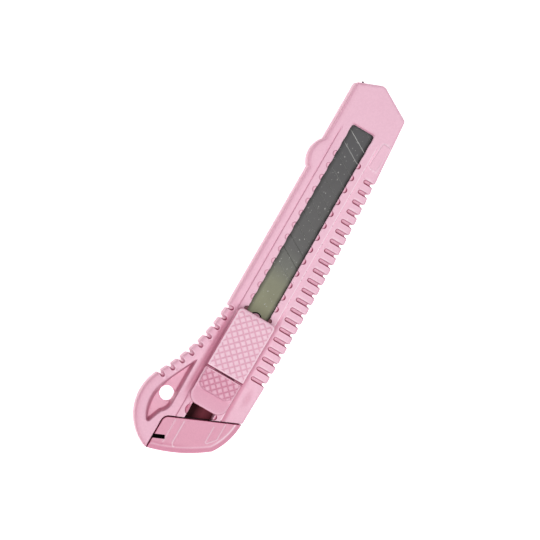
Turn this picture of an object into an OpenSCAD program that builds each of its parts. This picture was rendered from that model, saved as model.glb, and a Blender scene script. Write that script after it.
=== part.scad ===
// Snap off knife: a handle with a sliding blade carriage, a lock pad and a pull off end cap.
// +Y points to the blade tip, +Z out of the front face, and the back rests on z = 0.

/* [Blade] */
// Width of the blade
blade_w = 18; // [17:0.25:18.25]
// Length of the blade, from its point to its tail
blade_len = 100; // [98:0.5:101]
// Thickness of the blade
blade_t = 0.5; // [0.4:0.05:0.6]
// Number of segments that can be snapped off
segment_count = 14; // [10:1:15]
// Distance from one score line to the next
score_pitch = 4.9; // [4.7:0.1:5]
// Slant of the score lines
score_slant = 30; // [26:1:32]
// Depth of the score lines
score_depth = 0.15; // [0.1:0.05:0.2]
// Width of the ground bevel behind the cutting edge
grind_w = 1.8; // [1:0.1:2.5]
// Radius of the hole in the blade
blade_hole_r = 2.36; // [2.3:0.02:2.5]

/* [Handle] */
// Floor of the channel above the back face
floor_t = 4.8; // [4.4:0.1:5.2]
// Depth of the channel that the carriage runs in
channel_d = 3.8; // [3.6:0.1:4]
// Height of the slot that the blade runs in
slot_h = 0.8; // [0.7:0.05:0.9]
// Thickness of the two lips beside the window
lip_t = 2.2; // [2:0.1:2.4]
// Rise of the middle band and the nose above the side faces
band_rise = 0.6; // [0.4:0.1:0.8]
// Width of the window
window_w = 9.2; // [9.1:0.05:9.4]
// Front end of the window
window_front_y = 60.7; // [59:0.1:62]
// Depth of the teardrop pocket on each face
pocket_d = 4.2; // [3:0.1:4.4]
// Radius of the lanyard hole
lanyard_r = 2.75; // [2:0.05:2.85]

/* [Detents and grip] */
// Distance from one detent to the next
detent_pitch = 5; // [4.8:0.1:5.2]
// Number of detents on each edge of the window
detent_count = 22; // [18:1:22]
// Radius of a detent
detent_r = 1.2; // [1.1:0.05:1.4]
// Number of grip grooves on the right edge
rib_count = 21; // [16:1:21]
// Distance from one grip groove to the next
rib_pitch = 4.115; // [4:0.005:4.15]
// Width of a grip groove
rib_w = 1.65; // [1.4:0.05:1.8]
// Depth of a grip groove
rib_d = 1.2; // [0.8:0.1:1.4]
// Number of grip grooves on the left flank
flank_rib_count = 9; // [6:1:9]

/* [Slider] */
// Width of the slider
slider_w = 15.1; // [14.6:0.1:15.4]
// Height of the lock pad's front above its rear
pad_rise = 1.4; // [0.8:0.1:1.6]
// Travel of the lock pad when it is pressed
press_travel = 0.8; // [0.6:0.1:0.8]
// Clearance between sliding plastic faces
slide_gap = 0.2; // [0.15:0.05:0.25]

/* [End cap] */
// Gap between the handle and the end cap
cap_gap = 0.4; // [0.3:0.05:0.5]
// Slant of the joint between the handle and the end cap
cap_slant = 23; // [21:1:25]
// Width of the snapping slot
snap_slot_w = 1.55; // [1.3:0.05:1.8]

/* [Hidden] */
segment_names = [for (i = [1 : segment_count]) str("blade_segment_", i < 10 ? "0" : "", i)];
$fn = 48;
eps = 0.01;
far = 200;

handle_pink = "#eab4c8";
slider_pink = "#efb9cd";
cap_pink = "#e5a2ba";
blade_grey = "#525454";
spring_grey = "#6f6a66";

// Levels of the handle, from its back face
slot_z = floor_t + channel_d;
lip_z = slot_z + slot_h;
top_z = lip_z + lip_t;
face_z = top_z - band_rise;

// Middle line that the blade and the slider run on
mid_x = 3.6;
channel_w = 13;
channel_front_y = 63.6;
blade_slot_w = blade_w + 0.6;
band_x = [mid_x - 7.6, mid_x + 7.6];
band_fade_y = [54, 59.5];

// Blade
edge_x = mid_x - blade_w / 2;
point_y = 76.3;
tail_y = point_y - blade_len;
blade_hole_y = tail_y + 5.5;
blade_z = slot_z + (slot_h - blade_t) / 2;
score_fall = tan(score_slant);

// Outline of the handle and the cap
left_x = -7.1;
nose_left = [left_x, 74.7];
nose_peak = [2.4, 78.45];
nose_right = [15.3, 71.0];
right_r = 1086;
right_c = [19.2 - right_r, -21];
right_a = [3.5, -1.74];
cap_side_c = [-6.0, -53.7];
cap_side_r = 24.65;
cap_side_end = -35.2;
cap_base_c = [-20.7, -22.8];
cap_base_r = 57.0;
cap_base_a = [-52.5, -76.6];
tail_c = [-0.75, -61.1];
tail_r = 18.5;
tail_a = [246.5, 153];
flank_r = 73;
flank_c = [left_x - flank_r, -15.5];
flank_end = -29.6;
bump_c = [-0.45, 45.3];
bump_r = 8.9;
bump_half = 41.6;

// Detents and grip grooves
detent_first_y = 48.3;
detent_step = 0.95;
tail_detent_r = 2.4;
tail_detent_y = -58.5;
rib_first_y = 44.8;
rib_end_x = 12.9;
flank_rib_first = 2.9;
flank_rib_step = 3.37;
flank_rib_len = 1.4;
edge_notch_w = 1.2;
edge_notch_d = 1.3;

// Teardrop pocket and lanyard hole
lanyard_c = [-10.5, -57.5];
pocket_right_x = -7.2;
pocket_top = [pocket_right_x, -40.4];
pocket_arc_r = tail_r - 3.5;

// Slider: the carriage, and the lock pad over its front half
slider_front_y = -17.2;
slider_rear_y = -55.8;
split_y = [-41.3, -41.8];
base_front_y = -12;
base_wide_y = -34;
neck_front_y = -24.3;
neck_rear_y = -52.5;
base_w = channel_w - 2 * slide_gap;
neck_w = window_w - 2 * slide_gap;
narrow_w = neck_w - 0.2;
base_z = floor_t + slide_gap;
flange_z = top_z + 0.15;
flange_t = 0.85;
flange_top_z = flange_z + flange_t;
rear_pad_z = flange_top_z + 1.9;
rear_pad_y = -50;
tail_z = [flange_top_z + 0.6, flange_top_z - 0.2];
pin_r = 2.05;
pad_rear_z = flange_top_z + 2.6;
pad_wall = 1;
pad_roof_z = flange_top_z + press_travel + 0.1;
pad_inner_w = slider_w - 2 * pad_wall;
post_r = 1.6;
post_y = -30;
post_z = flange_top_z - 2.6;
cam_y = [-19.2, -22.2];

// Lock spring
spring_z = [top_z - 0.85, top_z - 0.15];
spring_t = 0.4;
spring_arm_x = 3.2;
spring_end_y = -37;
ear_y = detent_first_y - 13 * detent_pitch;
ear_r = detent_r - 0.25;
ear_inner_x = window_w / 2 - 0.25;
ear_neck_y = [ear_y - detent_r + 0.1, ear_y - 0.6];
ear_neck_x = window_w / 2 + 0.3;

// End cap
split_x = -7.75;
split_point = [18.5, -54.0];
split_corner_r = 2.9;
arm_tip_y = -42;
arm_x = [narrow_w / 2 + slide_gap, base_w / 2];
arm_z = [base_z, slot_z - 0.4];
cap_z = top_z - 0.3;
cap_rim_w = 2.4;
snap_slot_c = [-7.6, -73.4];
snap_slot_len = 4.3;

function unit(v) = v / norm(v);

// Points on an arc, from angle a[0] to angle a[1]
function arc(c, r, a, n = 12) =
    [for (i = [0 : n]) let (t = a[0] + (a[1] - a[0]) * i / n) c + r * [cos(t), sin(t)]];

// The corner q between p and s, rounded to radius r
function rounded(p, q, s, r, n = 6) =
    let (u = unit(p - q), v = unit(s - q),
         half = acos(u * v) / 2,
         c = q + unit(u + v) * r / sin(half),
         f = q + u * r / tan(half) - c,
         g = q + v * r / tan(half) - c,
         a0 = atan2(f.y, f.x),
         turn = atan2(g.y, g.x) - a0,
         t = turn > 180 ? turn - 360 : turn < -180 ? turn + 360 : turn)
    arc(c, r, [a0, a0 + t], n);

// A closed outline through the given corners, each with its own radius
function rounded_loop(p, r, n = 6) =
    [for (i = [0 : len(p) - 1])
        each rounded(p[(i + len(p) - 1) % len(p)], p[i], p[(i + 1) % len(p)], r[i], n)];

// Outline of the handle with the end cap closed
module silhouette() {
    polygon(concat(
        rounded([left_x, 0], nose_left, nose_peak, 1),
        rounded(nose_left, nose_peak, nose_right, 2.5),
        rounded(nose_peak, nose_right, right_c + right_r * [cos(right_a[0]), sin(right_a[0])], 1.2),
        arc(right_c, right_r, right_a, 24),
        arc(cap_side_c, cap_side_r, [-2, cap_side_end]),
        arc(cap_base_c, cap_base_r, cap_base_a),
        arc(tail_c, tail_r, tail_a, 24),
        arc(flank_c, flank_r, [flank_end, 0]),
        arc(bump_c, bump_r, [180 + bump_half, 180 - bump_half])));
}

// The side of the cap joint that the cap is on, moved into the cap by inset
module cap_side(inset) {
    n = [sin(cap_slant), -cos(cap_slant)];
    p = split_point + inset * n;
    x = split_x + inset;
    corner = [x, p.y - (p.x - x) * tan(cap_slant)];
    right = [far, p.y + (far - p.x) * tan(cap_slant)];
    polygon(concat(
        rounded([x, -far], corner, right, split_corner_r - inset),
        [right, [far, -far], [x, -far]]));
}

// Outline of the teardrop pocket
module teardrop() {
    left = arc(tail_c, pocket_arc_r, [152, 208]);
    knee = [pocket_right_x, -60];
    foot = [-11.9, -71.2];
    heel = [-10.1, -66.1];
    polygon(concat(
        rounded(knee, pocket_top, left[0], 0.35),
        left,
        rounded(left[12], foot, heel, 1),
        [heel],
        arc(knee - [5.6, 0], 5.6, [-52, 0])));
}

// A groove of width w with a round end at the origin, that runs along +X
module groove(len, w) {
    circle(d = w);
    translate([0, -w / 2]) square([len, w]);
}

// Places its children at each grip groove of the right edge
module at_ribs() {
    for (i = [0 : rib_count - 1])
        translate([rib_end_x + rib_w / 2, rib_first_y - i * rib_pitch]) children();
}

// Places its children at each grip groove of the left flank, with +X out of the handle
module at_flank_ribs() {
    for (i = [0 : flank_rib_count - 1])
        translate(flank_c) rotate(-flank_rib_first - i * flank_rib_step)
            translate([flank_r, 0]) rotate(180) children();
}

// Grooves in the faces, which start at height z and go up by h
module face_grooves(z, h) {
    translate([0, 0, z]) linear_extrude(h) {
        at_ribs() groove(far, rib_w);
        at_flank_ribs() translate([-flank_rib_len, 0]) groove(far / 20, rib_w);
    }
}

// Notches through both edges, which make the lobes between the grooves
module edge_notches() {
    translate([0, 0, -1]) linear_extrude(top_z + 2) {
        for (i = [0 : rib_count - 1]) let (y = rib_first_y - i * rib_pitch)
            translate([rib_edge_x(y) - edge_notch_d + edge_notch_w / 2, y]) groove(far, edge_notch_w);
        at_flank_ribs() translate([edge_notch_w / 2 - edge_notch_d, 0]) groove(far / 20, edge_notch_w);
    }
}

// X of the right edge at a given Y
function rib_edge_x(y) = right_c.x + sqrt(right_r * right_r - pow(y - right_c.y, 2));

// Lowers a side face from top_z to face_z behind the nose, for x from x0 to x1
module side_relief(x0, x1) {
    translate([x0, 0, 0]) rotate([90, 0, 90]) linear_extrude(x1 - x0)
        polygon([
            [band_fade_y[1], top_z], [band_fade_y[0], face_z], [-far, face_z],
            [-far, top_z + 1], [band_fade_y[1], top_z + 1]]);
}

// Detents: half moons in the upper layer of the lips, on both edges of the window
module detents() {
    translate([0, 0, top_z - detent_step]) linear_extrude(2) {
        for (i = [0 : detent_count - 1], side = [-1, 1])
            translate([mid_x + side * window_w / 2, detent_first_y - i * detent_pitch]) circle(detent_r);
        translate([mid_x - window_w / 2 + 0.8, tail_detent_y]) circle(tail_detent_r);
    }
}

// Space that the carriage, the blade and the window take out of the handle
module runways() {
    translate([mid_x - channel_w / 2, -far, floor_t])
        cube([channel_w, far + channel_front_y, channel_d + eps]);
    translate([mid_x - blade_slot_w / 2, -far, slot_z]) cube([blade_slot_w, 2 * far, slot_h]);
    translate([0, 0, lip_z - eps]) linear_extrude(lip_t + 1)
        polygon(concat(
            rounded([mid_x - window_w / 2, 0], [mid_x - window_w / 2, window_front_y],
                [mid_x, window_front_y], 1),
            rounded([mid_x, window_front_y], [mid_x + window_w / 2, window_front_y],
                [mid_x + window_w / 2, 0], 1),
            [[mid_x + window_w / 2, -far], [mid_x - window_w / 2, -far]]));
}

module handle_body() {
    color(handle_pink) difference() {
        linear_extrude(top_z) difference() {
            silhouette();
            cap_side(-cap_gap / 2);
        }
        side_relief(-far, band_x[0]);
        side_relief(band_x[1], far);
        runways();
        detents();
        face_grooves(face_z - rib_d, rib_d + 1);
        face_grooves(-1, rib_d + 1);
        edge_notches();
        translate([0, 0, face_z - pocket_d]) linear_extrude(far) teardrop();
        translate([0, 0, pocket_d - far]) linear_extrude(far) teardrop();
        translate([lanyard_c.x, lanyard_c.y, -1]) cylinder(h = top_z + 2, r = lanyard_r);
    }
}

module end_cap() {
    color(cap_pink) difference() {
        union() {
            linear_extrude(cap_z) intersection() {
                silhouette();
                cap_side(cap_gap / 2);
            }
            for (side = [-1, 1])
                translate([mid_x + (side > 0 ? arm_x[0] : -arm_x[1]), -66, arm_z[0]])
                    cube([arm_x[1] - arm_x[0], arm_tip_y + 66, arm_z[1] - arm_z[0]]);
        }
        // rim that follows the outline, one step lower than the face
        translate([0, 0, cap_z - 0.6]) linear_extrude(1) difference() {
            translate([split_x, -90]) square([60, 60]);
            translate(cap_side_c) circle(cap_side_r - cap_rim_w);
        }
        translate([snap_slot_c.x, snap_slot_c.y, 2]) rotate(cap_slant)
            translate([-4, -snap_slot_w / 2, 0]) cube([4 + snap_slot_len, snap_slot_w, far]);
    }
}

// Outline of the slider: small corners in front and large ones behind
module slider_outline(w, y0, y1, r0, r1) {
    polygon(rounded_loop(
        [[mid_x - w / 2, y0], [mid_x + w / 2, y0], [mid_x + w / 2, y1], [mid_x - w / 2, y1]],
        [r0, r0, r1, r1]));
}

// A bar of width w between two heights on the middle line
module bar(w, y0, y1, z0, z1) {
    translate([mid_x - w / 2, min(y0, y1), z0]) cube([w, abs(y1 - y0), z1 - z0]);
}

// A prism across the slider, with its side profile given as [y, z] points
module across(w, profile) {
    translate([mid_x - w / 2, 0, 0]) rotate([90, 0, 90]) linear_extrude(w) polygon(profile);
}

// Side profile of the carriage's visible part: the rear pad, and the hollow slope behind it
carriage_profile = concat(
    [[split_y[1], flange_z], [split_y[1], rear_pad_z], [rear_pad_y, rear_pad_z]],
    [for (t = [0 : 0.25 : 1])
        [rear_pad_y + t * (slider_rear_y - rear_pad_y), tail_z[1] + (tail_z[0] - tail_z[1]) * pow(1 - t, 2)]],
    [[slider_rear_y, flange_z]]);

module slider_carriage() {
    color(slider_pink) difference() {
        union() {
            bar(base_w, base_front_y, base_wide_y, base_z, slot_z);
            bar(narrow_w, base_wide_y, neck_rear_y, base_z, slot_z);
            bar(neck_w, neck_front_y, neck_rear_y, slot_z, flange_z);
            translate([mid_x, blade_hole_y, slot_z - eps])
                cylinder(h = blade_z + blade_t + 0.1 - slot_z, r = pin_r);
            translate([0, 0, flange_z]) linear_extrude(flange_t)
                slider_outline(pad_inner_w - 2 * slide_gap, slider_front_y - pad_wall - slide_gap,
                    split_y[0] + pad_wall + slide_gap, 0.8, 0.2);
            intersection() {
                translate([0, 0, flange_z - eps]) linear_extrude(far)
                    slider_outline(slider_w, split_y[1], slider_rear_y, 0.2, 3.8);
                across(slider_w, carriage_profile);
            }
        }
        // slit between the pads, deep in the middle
        bar(8.2, split_y[0], split_y[1], lip_z, far);
        translate([mid_x, post_y, post_z - press_travel - 0.4]) cylinder(h = far, r = post_r + 0.1);
        // pocket for the lock spring, and slots for the two cams
        bar(2 * spring_arm_x + 1.6, neck_front_y + 1, spring_end_y - 0.5, spring_z[0] - 0.2, far);
        bar(neck_w, slider_front_y, cam_y[1] - 0.3, top_z - press_travel - 0.2, far);
    }
}

// Side profile of the lock pad's outer shape
pad_profile = concat(
    [[split_y[0], flange_top_z], [split_y[0], pad_rear_z]],
    [[slider_front_y - 2.5, pad_rear_z + pad_rise]],
    arc([slider_front_y - 2.5, pad_rear_z + pad_rise - 2.5], 2.5, [88, 8], 6),
    [[slider_front_y, flange_top_z]]);

module lock_pad() {
    color(slider_pink) {
        difference() {
            intersection() {
                translate([0, 0, flange_top_z - 1]) linear_extrude(far)
                    slider_outline(slider_w, slider_front_y, split_y[0], 1.8, 0.3);
                across(slider_w, pad_profile);
            }
            bar(pad_inner_w, slider_front_y - pad_wall, split_y[0] + pad_wall, 0, pad_roof_z);
        }
        // steps that close the slit at both sides
        for (side = [-1, 1])
            translate([mid_x + (side > 0 ? 4.1 : -slider_w / 2), split_y[0] - 0.4, flange_top_z])
                cube([slider_w / 2 - 4.1, 0.4 + eps, 0.8]);
        // guide post
        translate([mid_x, post_y, post_z]) cylinder(h = pad_roof_z + eps - post_z, r = post_r);
        // cams that press the spring's arms inwards
        for (side = [0, 1]) translate([mid_x, cam_y[1], 0]) mirror([side, 0, 0])
            rotate([90, 0, 0]) mirror([0, 0, 1]) linear_extrude(cam_y[0] - cam_y[1])
                polygon([
                    [4.1, pad_roof_z + eps], [4.1, top_z - 0.05], [3.6, top_z - 0.05],
                    [2.2, top_z + 0.65], [2.2, pad_roof_z + eps]]);
    }
}

module lock_spring() {
    bend_r = spring_arm_x;
    color(spring_grey) translate([mid_x, 0, spring_z[0]]) linear_extrude(spring_z[1] - spring_z[0]) {
        for (side = [0, 1]) mirror([side, 0]) {
            translate([spring_arm_x - spring_t / 2, spring_end_y + bend_r - 0.1])
                square([spring_t, ear_neck_y[1] - spring_end_y - bend_r + 0.1]);
            translate([spring_arm_x, ear_neck_y[0]])
                square([ear_neck_x - spring_arm_x, ear_neck_y[1] - ear_neck_y[0]]);
            intersection() {
                translate([window_w / 2, ear_y]) circle(ear_r);
                translate([ear_inner_x, ear_y - ear_r]) square(2 * ear_r);
            }
        }
        translate([0, spring_end_y + bend_r]) difference() {
            circle(bend_r + spring_t / 2);
            circle(bend_r - spring_t / 2);
            translate([-far, 0]) square([2 * far, far]);
        }
    }
}

// Y of the score line number i where it meets the cutting edge; number 0 is the point
function score_y(i) = point_y - i * score_pitch;

// The ground strip that the blade is made from, with its cutting edge on the left
module ground_strip() {
    back_x = edge_x + blade_w;
    translate([0, point_y + 1, blade_z]) rotate([90, 0, 0]) linear_extrude(blade_len + 1)
        polygon([
            [edge_x, blade_t / 2], [edge_x + grind_w, 0], [back_x, 0],
            [back_x, blade_t], [edge_x + grind_w, blade_t]]);
}

// A slanted cut across the blade that is at y on the cutting edge
module slanted_at(y) {
    translate([edge_x, y, blade_z]) rotate(-score_slant) children();
}

// The V of the score line at y, in the front face of the blade
module score_groove(y) {
    slanted_at(y) translate([-5, 0, blade_t]) rotate([0, 90, 0]) linear_extrude(40)
        polygon([[score_depth, 0], [-eps, score_depth], [-eps, -score_depth]]);
}

module blade_segment(i) {
    y0 = score_y(i - 1);
    y1 = score_y(i);
    color(blade_grey) difference() {
        intersection() {
            ground_strip();
            linear_extrude(far) polygon([
                [edge_x, y0], [edge_x + blade_w, y0 - blade_w * score_fall],
                [edge_x + blade_w, y1 - blade_w * score_fall], [edge_x, y1]]);
        }
        if (i > 1) score_groove(y0);
        score_groove(y1);
    }
}

module blade_shank() {
    y0 = score_y(segment_count);
    back_x = edge_x + blade_w;
    color(blade_grey) difference() {
        intersection() {
            ground_strip();
            linear_extrude(far) polygon([
                [edge_x, y0], [back_x, y0 - blade_w * score_fall], [back_x, tail_y + 2],
                [back_x - 2, tail_y], [edge_x + 2, tail_y], [edge_x, tail_y + 2]]);
        }
        score_groove(y0);
        translate([mid_x, blade_hole_y, 0]) cylinder(h = far, r = blade_hole_r);
    }
}

handle_body();
end_cap();
slider_carriage();
lock_pad();
lock_spring();
for (i = [1 : segment_count]) blade_segment(i);
blade_shank();
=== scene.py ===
import math

import bmesh
import bpy
import numpy as np
from mathutils import Matrix, Vector
from mathutils.geometry import delaunay_2d_cdt


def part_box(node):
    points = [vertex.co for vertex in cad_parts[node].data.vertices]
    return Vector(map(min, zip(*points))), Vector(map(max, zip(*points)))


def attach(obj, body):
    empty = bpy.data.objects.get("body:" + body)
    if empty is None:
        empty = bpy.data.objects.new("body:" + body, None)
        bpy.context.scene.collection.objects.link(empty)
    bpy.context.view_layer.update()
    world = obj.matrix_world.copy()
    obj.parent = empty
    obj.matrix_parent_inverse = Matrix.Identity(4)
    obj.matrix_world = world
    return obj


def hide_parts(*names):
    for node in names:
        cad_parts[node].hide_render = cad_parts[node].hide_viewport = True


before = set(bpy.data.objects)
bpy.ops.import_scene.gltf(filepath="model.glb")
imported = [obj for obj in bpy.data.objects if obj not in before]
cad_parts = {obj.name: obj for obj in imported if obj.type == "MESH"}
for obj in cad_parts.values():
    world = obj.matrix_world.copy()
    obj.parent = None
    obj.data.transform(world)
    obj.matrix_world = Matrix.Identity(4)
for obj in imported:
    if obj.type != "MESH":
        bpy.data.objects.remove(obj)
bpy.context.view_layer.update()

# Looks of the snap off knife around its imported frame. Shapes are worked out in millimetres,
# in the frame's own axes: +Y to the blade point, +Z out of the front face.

MM = 0.001
OUTLINE_STEP = 0.4
FAR = 99.0
ALONG_ALL = 95  # further than either end of the handle


def box_mm(node):
    """The lowest and highest corners of a CAD node, in millimetres."""
    low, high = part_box(node)
    return np.array(low) / MM, np.array(high) / MM


# ---------------------------------------------------------------- sizes from the frame

carriage_low, carriage_high = box_mm("slider_carriage")
pad_low, pad_high = box_mm("lock_pad")
blade_low, blade_high = box_mm("blade_segment_01")
cap_high = box_mm("end_cap")[1]

TOP_Z = box_mm("handle_body")[1][2]
FACE_Z = TOP_Z - 0.6
MID_X = (blade_low[0] + blade_high[0]) / 2

# outline of the handle and the end cap
LEFT_X = -7.1
NOSE = [(LEFT_X, 74.7), (2.4, 78.45), (15.3, 71.0)]
NOSE_R = [1.0, 2.5, 1.2]
RIGHT_R = 1086.0
RIGHT_C = (19.2 - RIGHT_R, -21.0)
RIGHT_A = (3.5, -1.74)
CAP_SIDE_C, CAP_SIDE_R, CAP_SIDE_A = (-6.0, -53.7), 24.65, (-2.0, -35.2)
CAP_BASE_C, CAP_BASE_R, CAP_BASE_A = (-20.7, -22.8), 57.0, (-52.5, -76.6)
TAIL_C, TAIL_R, TAIL_A = (-0.75, -61.1), 18.5, (246.5, 153.0)
FLANK_R = 73.0
FLANK_C = (LEFT_X - FLANK_R, -15.5)
BUMP_C, BUMP_R, BUMP_HALF = (-0.45, 45.3), 8.9, 41.6

# the joint between the handle and the end cap
SPLIT_X, SPLIT_POINT, SPLIT_SLANT, SPLIT_GAP, SPLIT_CORNER = -7.75, (18.5, -54.0), 23.0, 0.4, 2.9

# window, detents and grip
WINDOW_HALF, WINDOW_FRONT, WINDOW_CORNER = 4.6, 60.7, 1.0
DETENT_FIRST, DETENT_PITCH, DETENT_COUNT, DETENT_R, DETENT_DEEP = 48.3, 5.0, 22, 1.2, 0.95
DETENT_RINGS, WALL_W, WINDOW_WAVE = (0.08, 0.0, -0.12, -0.3), 0.3, 0.07
TAIL_DETENT = (MID_X - WINDOW_HALF + 0.8, -58.5, 2.4)
RIB_FIRST, RIB_PITCH, RIB_COUNT, RIB_W, RIB_DEEP, RIB_END_X = 44.8, 4.115, 21, 1.65, 1.2, 12.9
FLANK_RIB_FIRST, FLANK_RIB_STEP, FLANK_RIB_COUNT, FLANK_RIB_LEN = 2.9, 3.37, 9, 1.4
NOTCH_W, NOTCH_DEEP, LOBE_R = 1.0, 1.3, 0.75
# GROOVE_LINE and GROOVE_LINE_W place the painted shadow line inside each groove
GROOVE_RUN, GROOVE_LINE, GROOVE_LINE_W = 8, 0.16, 0.34
LANYARD_C, LANYARD_R = (-10.5, -57.5), 2.75
POCKET_DEEP, POCKET_WALL = 4.2, 1.25
SCOOP_C, SCOOP_HALF, SCOOP_DEEP = (15.6, -45), (1.5, 6.0), 0.55
BAND_X = (MID_X - 7.6, MID_X + 7.6)
BAND_FADE = (54.0, 59.5)

# blank raised panel beside the window
PANEL_C, PANEL_HALF, PANEL_TILT, PANEL_R, PANEL_STEP = (13.75, 54.9), (1.75, 5.1), 3.0, 0.7, 0.3

# blade: score lines counted from the point, and how bright the painted highlight is on those that
# differ from the rest
EDGE_X, POINT_Y = blade_low[0], blade_high[1]
SCORE_PITCH, SCORE_COUNT, SCORE_SLANT = 4.9, 14, 30
SCORE_LIGHT = {3: 0.6, 4: 0.5, 6: 0.26, 12: 0.12, 13: 0.1, 14: 0.26}
SCORE_LIGHT_REST = 0.2

# channel, slot and lips
CHANNEL_W, CHANNEL_FRONT, CHANNEL_Z = 13.0, 63.6, (4.8, 8.6)
BLADE_SLOT_W, BLADE_SLOT_Z = 18.6, (8.6, 9.4)

# hollows beside the band: X from shallow to deep, Y where each end starts and is full; and the
# least height that leaves the blade slot closed
COVE_LEFT, COVE_RIGHT, COVE_DEEP = (-6.4, -4.3), (12.9, 11.35), (0.8, 0.7)
COVE_LEFT_Y, COVE_RIGHT_Y = ((-12, -30), (-58, -47)), ((-9, -17), (-60, -56))
BAND_STEP_W = (0.35, 0.1)
SLOT_ROOF_Z = 9.75
# how high the window's lower walls carry painted shadow
WINDOW_SHADE_Z = 10.3

# end cap: its sloping rim, the dark tongue that fills its joint low down as painted shadow, its arms
# and its snapping slit
RIM_W = 2.05
TONGUE_Z, TONGUE_END, TONGUE_INSET = (0.9, 4.6), 0.7, (0.35, 0.05 - SPLIT_GAP / 2)
ARM_X, ARM_REAR_Y, ARM_Z = (4.5, 6.3), -66, (CHANNEL_Z[0] + 0.2, CHANNEL_Z[1] - 0.4)
SLIT_C, SLIT_HALF, SLIT_REACH, SLIT_FLOOR_Z = (-7.6, -73.4), 0.775, (-4, 4.3), 2.0

# slider: the flange that both pads stand on, the pads, their knurl and the pin
SLIDER_HALF = (pad_high[0] - pad_low[0]) / 2
FLANGE_Z = TOP_Z + 1.0
PAD_Y = (pad_low[1] + 0.4, pad_high[1])
PAD_REAR_Z = FLANGE_Z + 2.6
CARRIAGE_Y = (carriage_low[1], pad_low[1] - 0.1)
REAR_PAD_Y = -50.0
KNURL_PITCH, KNURL_PHASE, KNURL_HALF, KNURL_MARGIN = 2.06, 21.16, 0.42, 0.4
PIN_C, PIN_RING_R, PIN_RING_Z = (MID_X, -18.2), (1.85, 2.75), (8.45, 9.8)


# ---------------------------------------------------------------- curves and distances

def arc(centre, radius, angles, count):
    """Points on an arc, from one angle to the other, in degrees."""
    t = np.radians(np.linspace(angles[0], angles[1], count))
    return np.stack([centre[0] + radius * np.cos(t), centre[1] + radius * np.sin(t)], 1)


def unit(v):
    return v / np.linalg.norm(v)


def rounded(before, corner, after, radius, count=7):
    """The arc that rounds one corner of a path."""
    before, corner, after = (np.array(p, float) for p in (before, corner, after))
    u, v = unit(before - corner), unit(after - corner)
    half = math.acos(np.clip(u @ v, -1, 1)) / 2
    centre = corner + unit(u + v) * radius / math.sin(half)
    f = corner + u * radius / math.tan(half) - centre
    g = corner + v * radius / math.tan(half) - centre
    a0 = math.degrees(math.atan2(f[1], f[0]))
    turn = (math.degrees(math.atan2(g[1], g[0])) - a0 + 180) % 360 - 180
    return arc(centre, radius, (a0, a0 + turn), count)


def rounded_loop(corners, radii, count=7):
    """A closed outline through corners, each rounded to its own radius."""
    n = len(corners)
    return np.concatenate([
        rounded(corners[i - 1], corners[i], corners[(i + 1) % n], radii[i], count) for i in range(n)])


def resample(path, step=OUTLINE_STEP, closed=False):
    """The same path with no stretch longer than step."""
    ends = np.roll(path, -1, 0) if closed else path[1:]
    out = []
    for p, q in zip(path, ends):
        n = max(1, int(math.ceil(np.linalg.norm(q - p) / step)))
        out.append(p + (q - p) * np.arange(n)[:, None] / n)
    if not closed:
        out.append(path[-1:])
    return np.concatenate(out)


def without_doubles(path, gap=0.02):
    """Drops points that lie on the point before them."""
    keep = [0]
    for i in range(1, len(path)):
        if np.linalg.norm(path[i] - path[keep[-1]]) > gap:
            keep.append(i)
    return path[keep]


def distance(points, path, closed=False):
    """How far each point is from a path."""
    a = path if closed else path[:-1]
    b = np.roll(path, -1, 0) if closed else path[1:]
    edge = b - a
    size = np.maximum((edge ** 2).sum(1), 1e-12)
    out = np.empty(len(points))
    for s in range(0, len(points), 2000):
        rel = points[s:s + 2000, None] - a
        t = np.clip((rel * edge).sum(2) / size, 0, 1)
        out[s:s + 2000] = np.sqrt(((rel - t[..., None] * edge) ** 2).sum(2).min(1))
    return out


def inside(points, loop):
    """Whether each point is inside a closed loop."""
    out = np.zeros(len(points), bool)
    x, y = points[:, 0], points[:, 1]
    for p, q in zip(loop, np.roll(loop, -1, 0)):
        cross = (p[1] > y) != (q[1] > y)
        if cross.any():
            at = p[0] + (y[cross] - p[1]) * (q[0] - p[0]) / (q[1] - p[1])
            out[cross] ^= x[cross] < at
    return out


def signed(points, loop):
    """Distance to a closed loop, negative inside it."""
    d = distance(points, loop, closed=True)
    return np.where(inside(points, loop), -d, d)


def normals(path, closed):
    """The unit vector to the left of a path, at each point."""
    if closed:
        along = np.roll(path, -1, 0) - np.roll(path, 1, 0)
    else:
        along = np.gradient(path, axis=0)
    along /= np.maximum(np.linalg.norm(along, axis=1, keepdims=True), 1e-9)
    return np.stack([-along[:, 1], along[:, 0]], 1)


def offset_rings(path, offsets, step, closed=False):
    """Points beside a path, at the given distances to its left."""
    base = resample(path, step, closed)
    side = normals(base, closed)
    rings = []
    for d in offsets:
        ring = base + side * d
        rings.append(ring[distance(ring, path, closed) > abs(d) * 0.93 - 1e-3])
    return np.concatenate(rings)


def soft_step(t):
    """0 below 0, 1 above 1 and smooth between."""
    t = np.clip(t, 0, 1)
    return t * t * (3 - 2 * t)


def rise(value, zero, one):
    """0 at one value, 1 at the other and smooth between."""
    return soft_step((value - zero) / (one - zero))


def stripe(value, at, half, flat=0.2):
    """1 where a value is near a mark, and 0 from about half away."""
    return soft_step(1 + flat - np.abs(value - at) / half)


def bell(value, at, half):
    """1 where a value is at a mark, fading smoothly to both sides."""
    return np.exp(-((value - at) / half) ** 2)


def edge_drop(d, radius):
    """How far a rounded edge lies below the face, at distance d from the side."""
    t = np.clip(radius - d, 0, radius)
    return radius - np.sqrt(np.maximum(radius ** 2 - t ** 2, 0))


# ---------------------------------------------------------------- meshes

def thinned(points, gap):
    """Keeps the first point in every square of a fine grid."""
    cells = np.floor(points / gap).astype(np.int64)
    _, first = np.unique(cells[:, 0] * 1000003 + cells[:, 1], return_index=True)
    return points[np.sort(first)]


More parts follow.
